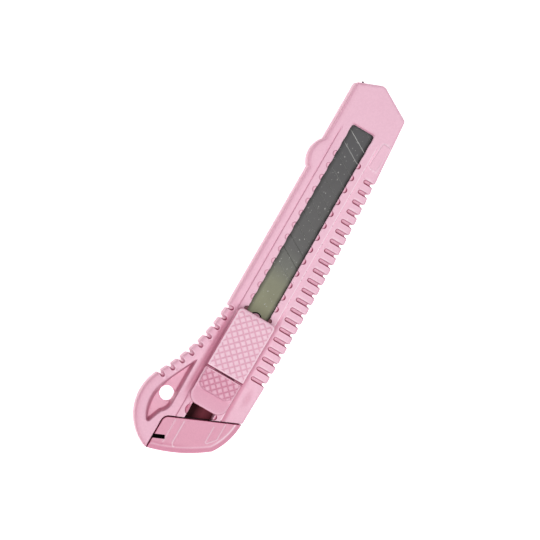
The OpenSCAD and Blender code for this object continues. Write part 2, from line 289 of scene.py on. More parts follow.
def grid(low, high, step):
    """Points of a triangular grid over a box."""
    rows = np.arange(low[1], high[1], step * 0.866)
    out = []
    for i, y in enumerate(rows):
        x = np.arange(low[0] + (i % 2) * step / 2, high[0], step)
        out.append(np.stack([x, np.full(len(x), y)], 1))
    return np.concatenate(out)


def line_along(x, run):
    """Points at one X, along the Y in run."""
    return np.stack([x + 0 * run, run], 1)


def triangulate(outline, holes, seeds, gap=0.09):
    """Points and triangles that fill an outline with holes, and pass through the seeds."""
    loops = [outline] + holes
    near = np.concatenate([resample(loop, 0.2, closed=True) for loop in loops])
    seeds = thinned(seeds, gap)
    keep = inside(seeds, outline)
    for hole in holes:
        keep &= ~inside(seeds, hole)
    seeds = seeds[keep]
    clear = np.ones(len(seeds), bool)
    for loop in loops:
        clear &= distance(seeds, loop, closed=True) > gap * 0.75
    seeds = seeds[clear]
    points = np.concatenate(loops + [seeds])
    edges, start = [], 0
    for loop in loops:
        n = len(loop)
        edges += [(start + i, start + (i + 1) % n) for i in range(n)]
        start += n
    out = delaunay_2d_cdt([Vector(p) for p in points], edges, [], 0, 1e-6)
    flat = np.array([tuple(v) for v in out[0]])
    tris = np.array([f for f in out[2] if len(f) == 3])
    middle = flat[tris].mean(1)
    keep = inside(middle, outline)
    for hole in holes:
        keep &= ~inside(middle, hole)
    tris = tris[keep]
    a, b, c = flat[tris[:, 0]], flat[tris[:, 1]], flat[tris[:, 2]]
    turn = (b[:, 0] - a[:, 0]) * (c[:, 1] - a[:, 1]) - (b[:, 1] - a[:, 1]) * (c[:, 0] - a[:, 0])
    tris[turn < 0] = tris[turn < 0][:, ::-1]
    used, back = np.unique(tris, return_inverse=True)
    return flat[used], back.reshape(tris.shape)


def new_object(name, mat, verts, faces):
    """A new object in the scene, with a mesh and one material."""
    mesh = bpy.data.meshes.new(name)
    mesh.from_pydata([tuple(v) for v in verts], [], [tuple(int(i) for i in f) for f in faces])
    mesh.update()
    mesh.materials.append(mat)
    obj = bpy.data.objects.new(name, mesh)
    bpy.context.scene.collection.objects.link(obj)
    return obj


def relief_solid(name, mat, outline, holes, seeds, top, bottom):
    """A closed solid between two height functions over one outline."""
    flat, tris = triangulate(outline, holes, np.concatenate(seeds))
    n = len(flat)
    verts = np.concatenate([
        np.column_stack([flat, top(flat)]), np.column_stack([flat, bottom(flat)])])
    directed = dict.fromkeys((tri[i], tri[(i + 1) % 3]) for tri in tris for i in range(3))
    faces = list(tris) + list(tris[:, ::-1] + n)
    faces += [(i + n, j + n, j, i) for i, j in directed if (j, i) not in directed]
    return new_object(name, mat, verts * MM, faces)


def prism(name, mat, outline, z0, z1):
    """A straight prism over an outline."""
    n = len(outline)
    verts = [(x * MM, y * MM, z * MM) for z in (z0, z1) for x, y in outline]
    area = sum(p[0] * q[1] - q[0] * p[1] for p, q in zip(outline, np.roll(outline, -1, 0)))
    ring = list(range(n)) if area > 0 else list(range(n))[::-1]
    faces = [tuple(reversed(ring)), tuple(i + n for i in ring)]
    faces += [(ring[i], ring[(i + 1) % n], ring[(i + 1) % n] + n, ring[i] + n) for i in range(n)]
    return new_object(name, mat, verts, faces)


def rectangle(x0, x1, y0, y1):
    """Corners of a rectangle, anticlockwise."""
    return np.array([(x0, y0), (x1, y0), (x1, y1), (x0, y1)], float)


def centred(half, y0, y1):
    """Corners of a rectangle centred on the blade."""
    return rectangle(MID_X - half, MID_X + half, y0, y1)


def combine(obj, other, operation):
    """Applies a boolean with another object, and removes that object."""
    mod = obj.modifiers.new("combine", "BOOLEAN")
    mod.operation = operation
    mod.solver = "MANIFOLD"
    mod.object = other
    mod.material_mode = "TRANSFER"
    bpy.context.view_layer.update()
    graph = bpy.context.evaluated_depsgraph_get()
    mesh = bpy.data.meshes.new_from_object(obj.evaluated_get(graph), depsgraph=graph)
    obj.modifiers.remove(mod)
    old = obj.data
    obj.data = mesh
    mesh.name = obj.name
    bpy.data.meshes.remove(old)
    bpy.data.objects.remove(other)
    return obj


def paint(obj, tint):
    """Stores a tint for every vertex: -1 a painted highlight on an edge, 0 plain, 1 painted shade in a
    recess, 2 painted shadow in a gap.
    """
    mesh = obj.data
    where = np.empty(len(mesh.vertices) * 3)
    mesh.vertices.foreach_get("co", where)
    value = (np.clip(tint(where.reshape(-1, 3) / MM), -1, 2) + 1) / 3
    mesh.attributes.new("tint", "FLOAT", "POINT").data.foreach_set("value", value.astype(np.float32))


def shade(obj, angle=38):
    """Smooth shading, with edges sharper than angle kept crisp."""
    mesh = obj.data
    mesh.shade_smooth()
    mesh.set_sharp_from_angle(angle=math.radians(angle))


# ---------------------------------------------------------------- materials

def srgb(r, g, b):
    """A colour given as 0..255 on screen, as linear values."""
    def channel(c):
        c /= 255
        return c / 12.92 if c <= 0.04045 else ((c + 0.055) / 1.055) ** 2.4
    return channel(r), channel(g), channel(b)


BLACK, WHITE = (0, 0, 0), (1, 1, 1)
# painted colours: shade in recesses, highlight on edges, shadow in gaps, the channel's inside in
# shade, and black shadow
RECESS_SHADE_PINK = srgb(182, 66, 108)
EDGE_HIGHLIGHT_PINK = srgb(250, 222, 233)
GAP_SHADOW_PINK = srgb(46, 12, 22)
CHANNEL, CHANNEL_DEEP = srgb(134, 62, 74), srgb(90, 36, 46)
SHADOW = srgb(26, 8, 12)


def plain_nodes(name):
    """A new node material, its principled shader and its object coordinates."""
    mat = bpy.data.materials.new(name)
    mat.use_nodes = True
    tree = mat.node_tree
    shader = tree.nodes["Principled BSDF"]
    where = tree.nodes.new("ShaderNodeTexCoord")
    return mat, tree, shader, where.outputs["Object"]


def noise(tree, where, scale, detail=3.0, rough=0.55, stretch=(1, 1, 1)):
    """A noise texture in object space. scale is in cycles a metre."""
    place = tree.nodes.new("ShaderNodeMapping")
    place.inputs["Scale"].default_value = stretch
    tree.links.new(where, place.inputs["Vector"])
    node = tree.nodes.new("ShaderNodeTexNoise")
    node.inputs["Scale"].default_value = scale
    node.inputs["Detail"].default_value = detail
    node.inputs["Roughness"].default_value = rough
    tree.links.new(place.outputs["Vector"], node.inputs["Vector"])
    return node.outputs["Fac"]


def ramp(tree, value, stops, blend="LINEAR"):
    """A colour ramp through (position, colour) stops."""
    node = tree.nodes.new("ShaderNodeValToRGB")
    node.color_ramp.interpolation = blend
    ends = node.color_ramp.elements
    while len(ends) < len(stops):
        ends.new(0.5)
    for end, (at, colour) in zip(ends, stops):
        end.position = at
        end.color = (*colour, 1)
    tree.links.new(value, node.inputs["Fac"])
    return node.outputs["Color"]


def scaled(tree, value, low, high):
    """A value as 0 at low and 1 at high, held at those ends."""
    node = tree.nodes.new("ShaderNodeMapRange")
    node.inputs["From Min"].default_value = low
    node.inputs["From Max"].default_value = high
    tree.links.new(value, node.inputs["Value"])
    return node.outputs["Result"]


def math_node(tree, operation, a, b):
    """One step of arithmetic. a is a socket, b a socket or a number."""
    node = tree.nodes.new("ShaderNodeMath")
    node.operation = operation
    tree.links.new(a, node.inputs[0])
    if isinstance(b, bpy.types.NodeSocket):
        tree.links.new(b, node.inputs[1])
    else:
        node.inputs[1].default_value = b
    return node.outputs[0]


def bump(tree, shader, height, strength, deep):
    """Fine relief on the shader's normal. deep is in metres."""
    node = tree.nodes.new("ShaderNodeBump")
    node.inputs["Strength"].default_value = strength
    node.inputs["Distance"].default_value = deep
    tree.links.new(height, node.inputs["Height"])
    tree.links.new(node.outputs["Normal"], shader.inputs["Normal"])


def mixed(tree, kind, factor, a, b):
    """Mixes two colours. factor, a and b are sockets or values."""
    node = tree.nodes.new("ShaderNodeMix")
    node.data_type = "RGBA"
    node.blend_type = kind
    for socket, given in ((node.inputs[0], factor), (node.inputs[6], a), (node.inputs[7], b)):
        if isinstance(given, bpy.types.NodeSocket):
            tree.links.new(given, socket)
        elif isinstance(given, (tuple, list)):
            socket.default_value = (*given, 1)
        else:
            socket.default_value = given
    return node.outputs[2]


def pink_plastic(name, plain, roughness, deep=RECESS_SHADE_PINK, worn=EDGE_HIGHLIGHT_PINK, painted_shadow_x=None):
    """Moulded plastic: a cloudy colour that follows the painted tint of painted highlights and painted
    shade, with a satin skin.

    With the last argument, two X in millimetres, a painted shadow darkens it from the second to the
    first."""
    mat, tree, shader, where = plain_nodes(name)
    tint = tree.nodes.new("ShaderNodeAttribute")
    tint.attribute_name = "tint"
    # the ramp runs from a painted highlight (worn) through the plain colour and painted shade in
    # recesses (deep) to painted shadow in gaps
    stops = [(0, worn), (1 / 3, plain), (2 / 3, deep), (1, GAP_SHADOW_PINK)]
    colour = ramp(tree, tint.outputs["Fac"], stops)
    clouds = ramp(tree, noise(tree, where, 55, 4, 0.6), [(0.3, (0.96, 0.93, 0.95)), (0.7, WHITE)])
    colour = mixed(tree, "MULTIPLY", 1.0, colour, clouds)
    dots = ramp(tree, noise(tree, where, 1600, 2, 0.5), [(0.42, (0.93, 0.9, 0.92)), (0.6, WHITE)])
    colour = mixed(tree, "MULTIPLY", 0.5, colour, dots)
    # a painted shadow, darker towards one side
    if painted_shadow_x:
        split = tree.nodes.new("ShaderNodeSeparateXYZ")
        tree.links.new(where, split.inputs["Vector"])
        side = scaled(tree, split.outputs["X"], painted_shadow_x[0] * MM, painted_shadow_x[1] * MM)
        shadow_ramp = ramp(tree, side, [(0, (0.12, 0.1, 0.1)), (1, WHITE)])
        colour = mixed(tree, "MULTIPLY", 1.0, colour, shadow_ramp)
    tree.links.new(colour, shader.inputs["Base Color"])
    shader.inputs["Roughness"].default_value = roughness
    shader.inputs["IOR"].default_value = 1.49
    shader.inputs["Specular IOR Level"].default_value = 0.1 if painted_shadow_x else 0.4
    bump(tree, shader, noise(tree, where, 2600, 3, 0.6), 0.12, 0.00006)
    return mat


HANDLE_PINK = pink_plastic("handle_plastic", srgb(237, 188, 207), 0.4)
CAP_PINK = pink_plastic("cap_plastic", srgb(220, 150, 174), 0.38)
SLIDER_PINK = pink_plastic("slider_plastic", srgb(227, 168, 190), 0.38)
# the channel's inside and the dark walls of slits, gaps and rings are painted shade and shadow
INNER_PINK = pink_plastic("channel_shade_plastic", CHANNEL, 0.8, CHANNEL_DEEP, CHANNEL, (1.6, 4.8))
SHADED_PINK = pink_plastic("painted_shadow_plastic", SHADOW, 0.8, SHADOW, SHADOW)


def blade_steel():
    """Dark oxide steel, olive towards the tail and darker towards the point, with fine scratches,
    painted shadow beside the window's edges and score lines with painted highlights.
    """
    mat, tree, shader, where = plain_nodes("blade_steel")
    split = tree.nodes.new("ShaderNodeSeparateXYZ")
    tree.links.new(where, split.inputs["Vector"])
    x, y = split.outputs["X"], split.outputs["Y"]
    body = ramp(tree, scaled(tree, y, -0.016, 0.060), [
        (0.0, srgb(121, 121, 96)), (0.17, srgb(116, 117, 97)), (0.26, srgb(96, 97, 90)),
        (0.36, srgb(81, 80, 79)), (1.0, srgb(68, 67, 69))])
    clouds = ramp(tree, noise(tree, where, 180, 5, 0.6), [(0.3, (0.84, 0.83, 0.83)), (0.7, WHITE)])
    body = mixed(tree, "MULTIPLY", 0.7, body, clouds)
    specks = noise(tree, where, 1300, 2, 0.5, (1, 0.6, 1))
    specks = ramp(tree, specks, [(0.66, BLACK), (0.72, WHITE)])
    body = mixed(tree, "MIX", specks, body, srgb(150, 150, 146))
    # painted shadow beside the window's edges, where the lips shade the blade
    middle = math_node(tree, "SUBTRACT", x, (MID_X + 0.2) * MM)
    lip_shadow = scaled(tree, math_node(tree, "ABSOLUTE", middle, 0.0),
                    (WINDOW_HALF - 1.6) * MM, (WINDOW_HALF - 0.1) * MM)
    body = mixed(tree, "MULTIPLY", lip_shadow, body, (0.3, 0.26, 0.27))
    # score lines: counted along the blade from its point, each with its own painted highlight
    slant = math.tan(math.radians(SCORE_SLANT))
    along = math_node(tree, "ADD", y, math_node(tree, "MULTIPLY", x, slant))
    first = POINT_Y * MM + EDGE_X * MM * slant
    last = first - (SCORE_COUNT + 0.5) * SCORE_PITCH * MM
    count = scaled(tree, along, first + SCORE_PITCH * MM / 2, last)
    bright = [SCORE_LIGHT.get(i, SCORE_LIGHT_REST) for i in range(SCORE_COUNT + 1)]
    stops = [(i / (SCORE_COUNT + 1), (v, v, v)) for i, v in enumerate(bright)]
    light = ramp(tree, count, stops, "CONSTANT")
    # the painted highlights fade towards the cutting edge
    fade = ramp(tree, scaled(tree, x, -0.0006, 0.0012), [(0, (0.35, 0.35, 0.35)), (1, WHITE)])
    light = mixed(tree, "MULTIPLY", 1.0, light, fade)
    # the walls of a score line are the faces of the front that lean a little
    geometry = tree.nodes.new("ShaderNodeNewGeometry")
    turned = tree.nodes.new("ShaderNodeVectorTransform")
    turned.vector_type = "NORMAL"
    turned.convert_from, turned.convert_to = "WORLD", "OBJECT"
    tree.links.new(geometry.outputs["Normal"], turned.inputs["Vector"])
    facing = tree.nodes.new("ShaderNodeSeparateXYZ")
    tree.links.new(turned.outputs["Vector"], facing.inputs["Vector"])
    up = facing.outputs["Z"]
    wall = math_node(tree, "MULTIPLY", scaled(tree, up, 0.96, 0.9), scaled(tree, up, 0.3, 0.4))
    # a painted highlight: the score lines' leaning walls are mixed towards light grey, by each line's
    # brightness
    line = mixed(tree, "MIX", light, body, srgb(232, 232, 230))
    body = mixed(tree, "MIX", wall, body, line)
    tree.links.new(body, shader.inputs["Base Color"])
    shader.inputs["Metallic"].default_value = 0.35
    shader.inputs["Roughness"].default_value = 0.5
    bump(tree, shader, noise(tree, where, 500, 4, 0.7, (1, 9, 1)), 0.12, 0.00004)
    return mat


def spring_steel():
    """Dark spring steel, coloured red-brown as painted shade and painted reflection of the pink
    plastic round it.
    """
    mat, tree, shader, where = plain_nodes("spring_steel")
    colour = ramp(tree, noise(tree, where, 700, 3), [(0.3, srgb(62, 16, 26)), (0.7, srgb(84, 24, 38))])
    tree.links.new(colour, shader.inputs["Base Color"])
    shader.inputs["Metallic"].default_value = 0.4
    shader.inputs["Roughness"].default_value = 0.4
    bump(tree, shader, noise(tree, where, 1500, 3), 0.1, 0.00003)
    return mat


def cover(obj, mat):
    """Gives an object one material."""
    obj.data.materials.clear()
    obj.data.materials.append(mat)


# ---------------------------------------------------------------- outlines

def split_path(inset):
    """The cap joint, from the handle's right edge to its foot, moved into the cap by inset."""
    slope = math.tan(math.radians(SPLIT_SLANT))
    px = SPLIT_POINT[0] + inset * math.sin(math.radians(SPLIT_SLANT))
    py = SPLIT_POINT[1] - inset * math.cos(math.radians(SPLIT_SLANT))
    x = SPLIT_X + inset
    corner = (x, py - (px - x) * slope)
    right_x = right_edge_x(SPLIT_POINT[1])
    right = (right_x, py + (right_x - px) * slope)
    foot_y = TAIL_C[1] - math.sqrt(TAIL_R ** 2 - (x - TAIL_C[0]) ** 2)
    foot = (x, foot_y)
    bend = rounded(right, corner, foot, SPLIT_CORNER - inset, 9)
    return np.concatenate([[right], bend, [foot]])


def notch(origin, out, along):
    """One edge notch between two round lobes, passed in the direction along."""
    origin, out, along = (np.array(v, float) for v in (origin, out, along))
    half = NOTCH_W / 2
    local = np.concatenate([
        arc((-half - LOBE_R, -LOBE_R), LOBE_R, (90, 0), 5),
        arc((0, -NOTCH_DEEP + half), half, (180, 360), 9),
        arc((half + LOBE_R, -LOBE_R), LOBE_R, (180, 90), 5)])
    return origin + local[:, :1] * along + local[:, 1:] * out


def right_edge_x(y):
    """X of the handle's right edge."""
    return RIGHT_C[0] + math.sqrt(RIGHT_R ** 2 - (y - RIGHT_C[1]) ** 2)


def flank_point(i):
    """Centre of a flank notch and the way out of the handle there."""
    t = math.radians(-FLANK_RIB_FIRST - i * FLANK_RIB_STEP)
    out = np.array([-math.cos(t), -math.sin(t)])
    return np.array(FLANK_C) - FLANK_R * out, out


def outer_path():
    """The handle's own edge, clockwise from the foot of the joint round to its right end."""
    tail_start = split_path(-SPLIT_GAP / 2)[-1]
    a0 = math.degrees(math.atan2(tail_start[1] - TAIL_C[1], tail_start[0] - TAIL_C[0])) % 360
    parts = [arc(TAIL_C, TAIL_R, (a0, TAIL_A[1]), 60)]
    for i in reversed(range(FLANK_RIB_COUNT)):
        origin, out = flank_point(i)
        parts.append(notch(origin, out, (out[1], -out[0])))
    parts.append(arc(BUMP_C, BUMP_R, (180 + BUMP_HALF, 180 - BUMP_HALF), 22))
    right_top = arc(RIGHT_C, RIGHT_R, RIGHT_A, 2)[0]
    ring = [(LEFT_X, 0)] + NOSE + [tuple(right_top)]
    for i in range(3):
        parts.append(rounded(ring[i], ring[i + 1], ring[i + 2], NOSE_R[i], 9))
    for i in range(RIB_COUNT):
        y = RIB_FIRST - i * RIB_PITCH
        parts.append(notch((right_edge_x(y), y), (1, 0), (0, -1)))
    parts.append(split_path(-SPLIT_GAP / 2)[:1])
    return without_doubles(np.concatenate(parts))


def pocket_loop():
    """Outline of the teardrop pocket."""
    left = arc(TAIL_C, TAIL_R - 3.5, (152, 208), 30)
    knee, top, foot, heel = (-7.2, -60.0), (-7.2, -40.4), (-11.9, -71.2), (-10.1, -66.1)
    return without_doubles(np.concatenate([
        rounded(knee, top, left[0], 0.35), left, rounded(left[-1], foot, heel, 1.0), [heel],
        arc((knee[0] - 5.6, knee[1]), 5.6, (-52, 0), 14)]))


def groove_starts():
    """Where each face groove starts, and the way out of the handle there."""
    for i in range(RIB_COUNT):
        yield np.array([RIB_END_X + RIB_W / 2, RIB_FIRST - i * RIB_PITCH]), np.array([1.0, 0.0])
    for i in range(FLANK_RIB_COUNT):
        origin, out = flank_point(i)
        yield origin - out * FLANK_RIB_LEN, out


def groove_distance(points):
    """Distance to the nearest face groove, negative inside one."""
    best = np.full(len(points), FAR)
    for start, out in groove_starts():
        rel = points - start
        along = rel @ out
        across = np.abs(rel @ np.array([-out[1], out[0]]))
        d = np.where(along < 0, np.hypot(rel[:, 0], rel[:, 1]), across) - RIB_W / 2
        best = np.minimum(best, np.where(along < GROOVE_RUN, d, FAR))
    return best


def groove_shade(points):
    """1 on the groove walls that face the blade point, less on the other walls and floors."""
    out = np.zeros(len(points))
    half = RIB_W / 2
    for start, way in groove_starts():
        rel = points[:, :2] - start
        side = np.array([-way[1], way[0]])
        if side[1] < 0:
            side = -side
        across = rel @ side
        along = rel @ way
        near = (np.abs(across) < half + 0.2) & (along > -half - 0.2) & (along < GROOVE_RUN)
        wall = stripe(across, GROOVE_LINE - half, GROOVE_LINE_W)
        round_end = stripe(np.hypot(*rel.T), half - GROOVE_LINE, GROOVE_LINE_W)
        wall = np.where(along < 0, round_end * (0.6 - 0.8 * across / RIB_W), wall)
        floor = 0.16 * (np.abs(across) < half)
        out = np.where(near, np.maximum(out, np.maximum(wall, floor)), out)
    return out


def groove_seeds(offsets, step):
    """Points along both walls and round the end of every face groove."""
    out = []
    for start, way in groove_starts():
        side = np.array([-way[1], way[0]])
        for d in offsets:
            r = RIB_W / 2 + d
            a = math.degrees(math.atan2(way[1], way[0]))
            out.append(arc(start, r, (a + 90, a + 270), max(6, int(math.pi * r / step))))
            run = np.arange(step, GROOVE_RUN - 0.5, step)[:, None]
            out += [start + side * r + way * run, start - side * r + way * run]
    return np.concatenate(out)


# ---------------------------------------------------------------- handle

def window_edge(y):
    """Half width of the window: its edge swells a little between the detents."""
    return WINDOW_HALF + WINDOW_WAVE * np.cos(2 * math.pi * (y - DETENT_FIRST) / DETENT_PITCH)


def window_loop():
    """Outline of the window, open past the tail."""
    wave = np.arange(5 - ALONG_ALL, WINDOW_FRONT - WINDOW_CORNER, 0.25)
    left = np.stack([MID_X - window_edge(wave), wave], 1)
    right = np.stack([MID_X + window_edge(wave), wave], 1)[::-1]
    corners = [(MID_X - WINDOW_HALF, 0), (MID_X - WINDOW_HALF, WINDOW_FRONT),
               (MID_X + WINDOW_HALF, WINDOW_FRONT), (MID_X + WINDOW_HALF, 0)]
    bends = [rounded(*corners[i:i + 3], WINDOW_CORNER) for i in (0, 1)]
    return without_doubles(np.concatenate([left, *bends, right]))


def detent_distance(points):
    """Distance to the nearest detent, negative inside one."""
    nearest = np.round((DETENT_FIRST - points[:, 1]) / DETENT_PITCH).clip(0, DETENT_COUNT - 1)
    rel_y = points[:, 1] - DETENT_FIRST + nearest * DETENT_PITCH
    rel_x = np.abs(points[:, 0] - MID_X) - WINDOW_HALF
    cx, cy, r = TAIL_DETENT
    tail = np.hypot(points[:, 0] - cx, points[:, 1] - cy) - r
    return np.minimum(np.hypot(rel_x, rel_y) - DETENT_R, tail)


def cove_reach(y, ends=COVE_LEFT_Y):
    """0 to 1 along the handle: where a hollow beside the slider starts, deepens and ends."""
    return rise(y, *ends[0]) * rise(y, *ends[1])


def coves(p):
    """How far each point is down the hollow left of the slider and the one right of it."""
    x, y = p[:, 0], p[:, 1]
    left = cove_reach(y) * rise(x, *COVE_LEFT) * rise(x, BAND_X[0] + 1.1, BAND_X[0])
    right = cove_reach(y, COVE_RIGHT_Y) * rise(x, *COVE_RIGHT) * (x > BAND_X[1] - 0.05)
    return left, right


def scoop(p):
    """How far each point is down the shallow thumb mark on the right, 0 to 1."""
    away = np.hypot((p[:, 0] - SCOOP_C[0]) / SCOOP_HALF[0], (p[:, 1] - SCOOP_C[1]) / SCOOP_HALF[1])
    return soft_step(1 - away)


def panel_distance(p):
    """Distance to the blank raised panel beside the window, negative inside it."""
    t = math.radians(PANEL_TILT)
    rel = p - np.array(PANEL_C)
    x = rel[:, 0] * math.cos(t) - rel[:, 1] * math.sin(t)
    y = rel[:, 0] * math.sin(t) + rel[:, 1] * math.cos(t)
    qx = np.abs(x) - PANEL_HALF[0] + PANEL_R
    qy = np.abs(y) - PANEL_HALF[1] + PANEL_R
    out = np.hypot(np.maximum(qx, 0), np.maximum(qy, 0))
    return out + np.minimum(np.maximum(qx, qy), 0) - PANEL_R


def panel_seeds():
    """Points down the panel's sloping edge."""
    t = math.radians(PANEL_TILT)
    w, h = PANEL_HALF
    loop = rounded_loop([(-w, -h), (w, -h), (w, h), (-w, h)], [PANEL_R] * 4, 6)
    turn = np.array([[math.cos(t), math.sin(t)], [-math.sin(t), math.cos(t)]])
    loop = loop @ turn.T + np.array(PANEL_C)
    return offset_rings(loop, (-0.02, 0.12, 0.26, 0.4), 0.3, closed=True)


def make_handle():
    """The handle: a relief solid, with the window, blade slot and channel cut out of it."""
    outer = outer_path()
    split = split_path(-SPLIT_GAP / 2)
    loop = resample(np.concatenate([outer[:-1], split[:-1]]), closed=True)[::-1]
    outer_fine, split_fine = resample(outer), resample(split)
    hole = resample(arc(LANYARD_C, LANYARD_R, (0, 360), 49)[:-1], closed=True)
    pocket, opening = pocket_loop(), window_loop()

    def past_window(p):
        """Distance out from the window's edge, with its round corners ahead of the detents."""
        x, y = p[:, 0], p[:, 1]
        out = np.abs(x - MID_X) - window_edge(y)
        ahead = y > WINDOW_FRONT - WINDOW_CORNER
        out[ahead] = signed(p[ahead], opening)
        return out

    def into_pocket(p):
        """0 at the pocket's edge, 1 at the foot of its wall, which is less steep on the left."""
        wall = POCKET_WALL * (0.9 + 0.8 * soft_step((-11.5 - p[:, 0]) / 3))
        return -signed(p, pocket) / wall

    def common(p):
        """What both faces share: grooves, pocket and round edges."""
        wide = 0.75 + 0.3 * rise(p[:, 1], -14, -8) * (p[:, 0] < 0)
        drop = RIB_DEEP * soft_step(-groove_distance(p) / 0.36)
        drop += POCKET_DEEP * soft_step(into_pocket(p))
        drop += edge_drop(distance(p, outer_fine), wide) + edge_drop(distance(p, split_fine), 0.2)
        return drop + edge_drop(distance(p, hole, closed=True), 0.35)

    def front(p):
        """Height of the front face."""
        x, y = p[:, 0], p[:, 1]
        left, right = coves(p)
        soften = 0.5 * cove_reach(y)
        in_band = np.minimum(
            soft_step((x - BAND_X[0] + soften) / (BAND_STEP_W[0] + 2 * soften) + 0.5),
            soft_step((BAND_X[1] - x) / BAND_STEP_W[1] + 0.5))
        z = FACE_Z + (TOP_Z - FACE_Z) * np.maximum(in_band, rise(y, *BAND_FADE))
        z -= COVE_DEEP[0] * left + COVE_DEEP[1] * right
        z -= SCOOP_DEEP * scoop(p)
        z += PANEL_STEP * soft_step(-panel_distance(p) / PANEL_STEP)
        d, edge = detent_distance(p), past_window(p)
        z -= DETENT_DEEP * soft_step(-d / WALL_W)
        worn = 0.3 + 0.3 * soft_step(y - WINDOW_FRONT + WINDOW_CORNER)
        z -= np.where(d > 0, edge_drop(np.maximum(edge, 0), worn), 0)
        z -= common(p)
        over_slot = (np.abs(x - MID_X) < BLADE_SLOT_W / 2 + 0.2) & (d > 0) & (edge > 0.3)
        return np.where(over_slot, np.maximum(z, SLOT_ROOF_Z), z)

    def tint(p):
        """Painted shade deep in the hollows of the front face, painted highlights on its edges."""
        x, y, z = p.T
        flat = p[:, :2]
        d, edge = detent_distance(flat), past_window(flat)
        groove, panel = groove_distance(flat), panel_distance(flat)
        into, rim = into_pocket(flat), distance(flat, outer_fine)
        # painted shade in the hollows, grooves and pocket, and darker towards the tail
        t = 0.62 * cove_reach(y) * rise(x, -6.9, -4.5) * rise(x, -2.0, -2.6)
        t += 0.35 * coves(flat)[1] + 0.3 * scoop(flat) + 1.6 * groove_shade(flat)
        t += 0.15 * soft_step(into) + 0.35 * stripe(into, 0.55, 0.6, flat=0)
        t += 0.12 * rise(y, -44, -56)
        # detents: a painted shade crescent, strong on the right
        tail = TAIL_DETENT[2] - np.hypot(x - TAIL_DETENT[0], y - TAIL_DETENT[1])
        t += 0.55 * soft_step(tail / WALL_W) * (edge > 0)
        crescent = stripe(d, -0.18, 0.24) * rise(edge / DETENT_R, 0.3, 0.8)
        crescent *= np.where(x > MID_X, 1.25, 0.35)
        t += np.where((d < 0.02) & (edge > 0.05), crescent + 0.05, 0)
        # painted shade on the outer edge, the left side, the band's left step and the window's front
        # end
        t += 0.45 * soft_step(1 - rim / 0.12)
        t += 0.16 * soft_step(1 - rim / 2.4) * (x < -4) * (groove > 0.3)
        behind_nose = soft_step((BAND_FADE[1] - y) / 4)
        t += 0.3 * stripe(x, BAND_X[0], 0.22) * behind_nose * (cove_reach(y) < 0.3)
        t += 0.45 * (y > WINDOW_FRONT + 0.1) * stripe(edge, 0.35, 0.35, 0.1)
        # painted highlights: the band's right edge, the panel, the grooves' edges and the window's
        # sides
        t -= 0.9 * stripe(x, BAND_X[1] - 0.2, 0.25) * behind_nose * (z > TOP_Z - 0.2)
        t -= 0.8 * stripe(panel, 0, 0.25, 0.1) * (panel < 0.1)
        t -= 0.8 * (z > FACE_Z - 0.35) * (groove > 0.02) * soft_step(1 - groove / 0.4)
        beside = (z > TOP_Z - 0.3) & (d > 0.05) & (y < WINDOW_FRONT)
        t -= 0.5 * beside * stripe(edge, 0.2, 0.2, 0.1)
        on_front = (z > BLADE_SLOT_Z[1]) | ((into > 0) & (z > TOP_Z / 2))
        return np.where(on_front, t, 0.1)

    sides = (MID_X - WINDOW_HALF, MID_X + WINDOW_HALF)
    seeds = [
        offset_rings(outer[::-1], (0.06, 0.2, 0.4, 0.65, 0.9, 1.15), 0.35),
        offset_rings(split[::-1], (0.12, 0.3), 0.35),
        offset_rings(hole, (-0.12, -0.4), 0.3, closed=True),
        groove_seeds((0.12, 0.0, -0.1, -0.2, -0.32, -0.45, -0.62), 0.3),
        offset_rings(pocket, (-0.05, 0.2, 0.4, 0.6, 0.8, 0.95, 1.12, 1.3, 1.6, 2.0), 0.3, closed=True),
    ]
    for cy in DETENT_FIRST - np.arange(DETENT_COUNT) * DETENT_PITCH:
        for x, mid in zip(sides, (180, 0)):
            seeds += [arc((x, cy), DETENT_R + d, (mid - 96, mid + 96), 17) for d in DETENT_RINGS]
    seeds += [arc(TAIL_DETENT[:2], TAIL_DETENT[2] + d, (60, 300), 34) for d in DETENT_RINGS]
    run = np.arange(-66, WINDOW_FRONT + 0.4, 0.4)
    for side, x in zip((-1, 1), sides):
        seeds += [line_along(x + side * d, run) for d in (-0.15, 0.02, 0.15, 0.35)]
    front_end = opening[opening[:, 1] > WINDOW_FRONT - WINDOW_CORNER - 0.6]
    seeds.append(offset_rings(front_end, (0.02, 0.15, 0.35, 0.6), 0.25))
    run = np.arange(-78, BAND_FADE[1] + 2, 0.6)
    beside_band = ((-1.9, -1.4, -0.9, -0.5), (-0.5, -0.35, -0.2, 0.3, 0.6, 1.0, 1.6))
    for x, width, beside in zip(BAND_X, BAND_STEP_W, beside_band):
        offsets = (-0.56 * width, -0.2 * width, 0.2 * width, 0.56 * width, *beside)
        seeds += [line_along(x + d, run) for d in offsets]
    pocket_tip = grid((-9.6, -49), (-6.7, -39.5), 0.2)
    seeds += [panel_seeds(), pocket_tip, grid((-20, -79), (20, 79), 1.1)]
    solid = relief_solid("handle_moulding", HANDLE_PINK, loop, [hole], seeds, front, common)

    slot = rectangle(MID_X - BLADE_SLOT_W / 2, MID_X + BLADE_SLOT_W / 2, -ALONG_ALL, ALONG_ALL)
    channel = rectangle(MID_X - CHANNEL_W / 2, MID_X + CHANNEL_W / 2, 1 - ALONG_ALL, CHANNEL_FRONT)
    # the slot and channel walls take the channel's painted shade, and the window's lower walls painted
    # shadow
    cutter = prism("slot", INNER_PINK, slot, *BLADE_SLOT_Z)
    for other in (
            prism("channel", INNER_PINK, channel, CHANNEL_Z[0], CHANNEL_Z[1] + 0.05),
            prism("window_foot", SHADED_PINK, opening, BLADE_SLOT_Z[1] - 0.1, WINDOW_SHADE_Z),
            prism("window", HANDLE_PINK, opening, WINDOW_SHADE_Z - 0.1, TOP_Z + 2)):
        combine(cutter, other, "UNION")
    combine(solid, cutter, "DIFFERENCE")
    paint(solid, tint)
    shade(solid)
    return solid


# ---------------------------------------------------------------- end cap

